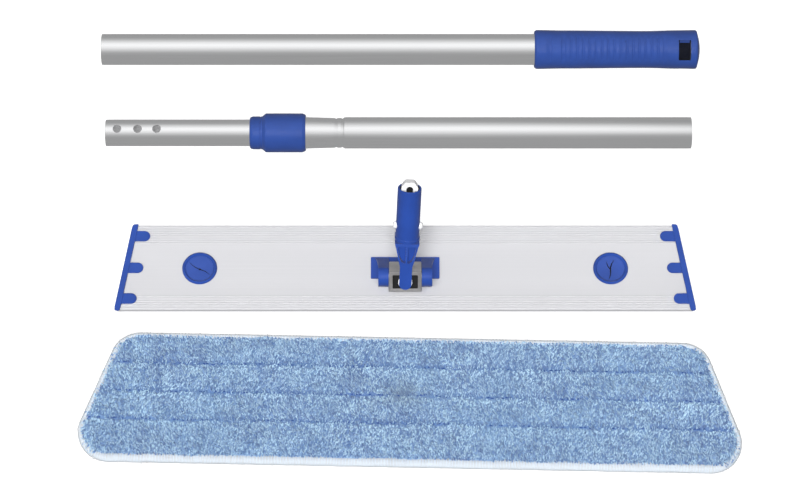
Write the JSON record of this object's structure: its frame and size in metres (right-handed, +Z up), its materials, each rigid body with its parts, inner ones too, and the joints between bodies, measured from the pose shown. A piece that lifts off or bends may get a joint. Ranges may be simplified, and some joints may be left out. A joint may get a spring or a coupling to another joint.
{
  "type": "flat mop",
  "caption": "Flat mop laid out as a kit: trapezoid aluminium head with a two-axis handle socket, quilted microfibre pad, and a two-length pole with a twist-lock telescopic tube.",
  "frame": {"origin": "middle of the bottom of the kit's box, on the surface it lies on", "axes": "+X along the poles and the head's long edge, +Y from the pad towards the poles, +Z up"},
  "size_m": [0.6725, 0.4954, 0.1176],
  "materials": {
    "aluminium": "satin",
    "anodised": "satin anodised",
    "cast": "as cast",
    "steel": "satin",
    "blue": "satin",
    "grip": "matte",
    "white": "satin",
    "grey": "matte",
    "rubber": "matte",
    "hook": "hook tape",
    "backing": "loop knit",
    "foam": "open-cell foam",
    "pile": "microfibre pile",
    "thread": "overlock thread"
  },
  "bodies": {
    "head": {"frame_plate": "anodised", "end_cap_left": "blue", "end_cap_right": "blue", "cloth_gripper_rim_left": "blue", "cloth_gripper_rim_right": "blue", "cloth_gripper_flaps_left": "rubber", "cloth_gripper_flaps_right": "rubber", "hook_strip_front": "hook", "hook_strip_rear": "hook", "joint_bracket": "blue", "bracket_screw_1": "steel", "bracket_screw_2": "steel", "bracket_screw_3": "steel", "bracket_screw_4": "steel", "tilt_pin_left": "steel", "tilt_pin_right": "steel"},
    "cross": {"cross_block": "cast"},
    "socket": {"handle_socket": "blue", "swivel_pin": "steel", "swivel_washer_front": "white", "swivel_washer_back": "white", "clip_bend": "white"},
    "left_button": {"clip_leg_left": "white"},
    "right_button": {"clip_leg_right": "white"},
    "upper_pole": {"upper_tube": "aluminium", "hand_grip": "grip"},
    "lower_pole": {"lower_outer_tube": "aluminium", "lock_sleeve": "white", "grip_wedge": "white"},
    "collar": {"lock_collar": "grip"},
    "inner_pole": {"inner_tube": "aluminium", "inner_tube_bush": "white"},
    "spigot": {"joining_spigot": "grey"},
    "pad": {"pad_backing": "backing", "pad_core": "foam", "pad_pile": "pile", "pad_binding": "thread"}
  },
  "joints": [
    {"name": "head_tilt", "type": "hinge", "parent": "head", "child": "cross", "pos_m": [-0.0042, -0.0412, 0.027], "axis": [1, 0, 0], "range_deg": [-24, 107]},
    {"name": "head_swivel", "type": "hinge", "parent": "cross", "child": "socket", "pos_m": [-0.0042, -0.0412, 0.027], "axis": [0, 0.7986, -0.6018], "range_deg": [-32.5, 27.5]},
    {"name": "left_button_press", "type": "hinge", "parent": "socket", "child": "left_button", "pos_m": [-0.00594, 0.01689, 0.10408], "axis": [0, -0.7986, 0.6018], "range_deg": [0, 5.2], "stiffness_Nm_per_rad": 0.25},
    {"name": "right_button_press", "type": "hinge", "parent": "socket", "child": "right_button", "pos_m": [0.00595, 0.01657, 0.10367], "axis": [0, 0.7986, -0.6018], "range_deg": [0, 5.2], "stiffness_Nm_per_rad": 0.25},
    {"name": "collar_twist", "type": "hinge", "parent": "lower_pole", "child": "collar", "pos_m": [-0.131, 0.1277, 0.0205], "axis": [1, 0, 0], "range_deg": [0, 90]},
    {"name": "telescope", "type": "slide", "parent": "lower_pole", "child": "inner_pole", "axis": [-1, 0, 0], "range_m": [-0.09, 0.165]},
    {"name": "spigot_slide", "type": "slide", "parent": "lower_pole", "child": "spigot", "axis": [1, 0, 0], "range_m": [0, 0.04]},
    {"name": "upper_pole_lift", "type": "slide", "parent": "head", "child": "upper_pole", "axis": [0, 0, 1], "range_m": [0, 0.2]},
    {"name": "lower_pole_lift", "type": "slide", "parent": "head", "child": "lower_pole", "axis": [0, 0, 1], "range_m": [0, 0.2]},
    {"name": "pad_pull", "type": "slide", "parent": "head", "child": "pad", "axis": [0, -1, 0], "range_m": [0, 0.15]}
  ]
}
